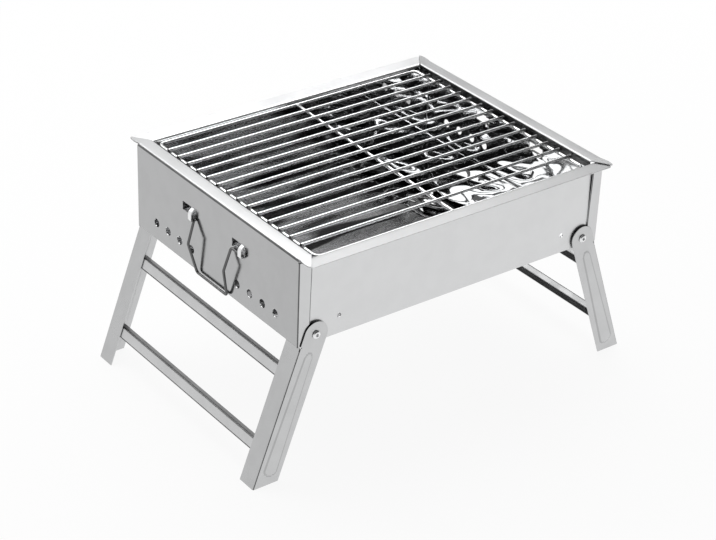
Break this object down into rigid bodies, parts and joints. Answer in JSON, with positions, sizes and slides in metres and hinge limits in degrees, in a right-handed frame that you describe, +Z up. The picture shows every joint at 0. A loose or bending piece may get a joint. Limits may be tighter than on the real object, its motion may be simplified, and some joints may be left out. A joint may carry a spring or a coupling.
{
  "type": "folding charcoal grill",
  "caption": "Tabletop folding charcoal grill with a sheet steel fire box, wire cooking grate, folding leg frames and wire bails.",
  "frame": {"origin": "on the ground, at the centre of the object's bounding box", "axes": "+X along the long side to the right as seen from the front, +Y towards the back, +Z up"},
  "size_m": [0.4418, 0.2952, 0.221],
  "materials": {
    "panel_sheet": "satin stainless sheet",
    "pan_sheet": "bright mirror-like sheet",
    "leg_sheet": "satin stainless sheet",
    "wire": "bright plated wire",
    "handle_wire": "bright steel wire, darker than the grate",
    "rivet": "bright plated rivets and washers"
  },
  "bodies": {
    "fire_box": {"front_panel": "panel_sheet", "back_panel": "panel_sheet", "left_end_panel": "panel_sheet", "right_end_panel": "panel_sheet", "fire_pan": "pan_sheet", "left_front_pivot_rivet": "rivet", "left_back_pivot_rivet": "rivet", "right_front_pivot_rivet": "rivet", "right_back_pivot_rivet": "rivet", "left_front_pivot_spacer": "rivet", "left_back_pivot_spacer": "rivet", "right_front_pivot_spacer": "rivet", "right_back_pivot_spacer": "rivet"},
    "grate": {"cooking_grate": "wire"},
    "left_leg_frame": {"left_front_leg": "leg_sheet", "left_back_leg": "leg_sheet", "left_upper_rung": "leg_sheet", "left_lower_rung": "leg_sheet"},
    "right_leg_frame": {"right_front_leg": "leg_sheet", "right_back_leg": "leg_sheet", "right_upper_rung": "leg_sheet", "right_lower_rung": "leg_sheet"},
    "left_bail": {"left_handle": "handle_wire"},
    "right_bail": {"right_handle": "handle_wire"}
  },
  "joints": [
    {"name": "left_leg_fold", "type": "hinge", "parent": "fire_box", "child": "left_leg_frame", "pos_m": [-0.156, 0, 0.1413], "axis": [0, -1, 0], "range_deg": [0, 110]},
    {"name": "right_leg_fold", "type": "hinge", "parent": "fire_box", "child": "right_leg_frame", "pos_m": [0.156, 0, 0.1413], "axis": [0, 1, 0], "range_deg": [0, 110]},
    {"name": "left_handle_swing", "type": "hinge", "parent": "fire_box", "child": "left_bail", "pos_m": [-0.17665, 0, 0.1857], "axis": [0, 1, 0], "range_deg": [0, 140]},
    {"name": "right_handle_swing", "type": "hinge", "parent": "fire_box", "child": "right_bail", "pos_m": [0.17665, 0, 0.1857], "axis": [0, -1, 0], "range_deg": [0, 140]},
    {"name": "grate_lift", "type": "slide", "parent": "fire_box", "child": "grate", "axis": [0, 0, 1], "range_m": [0, 0.08]}
  ]
}
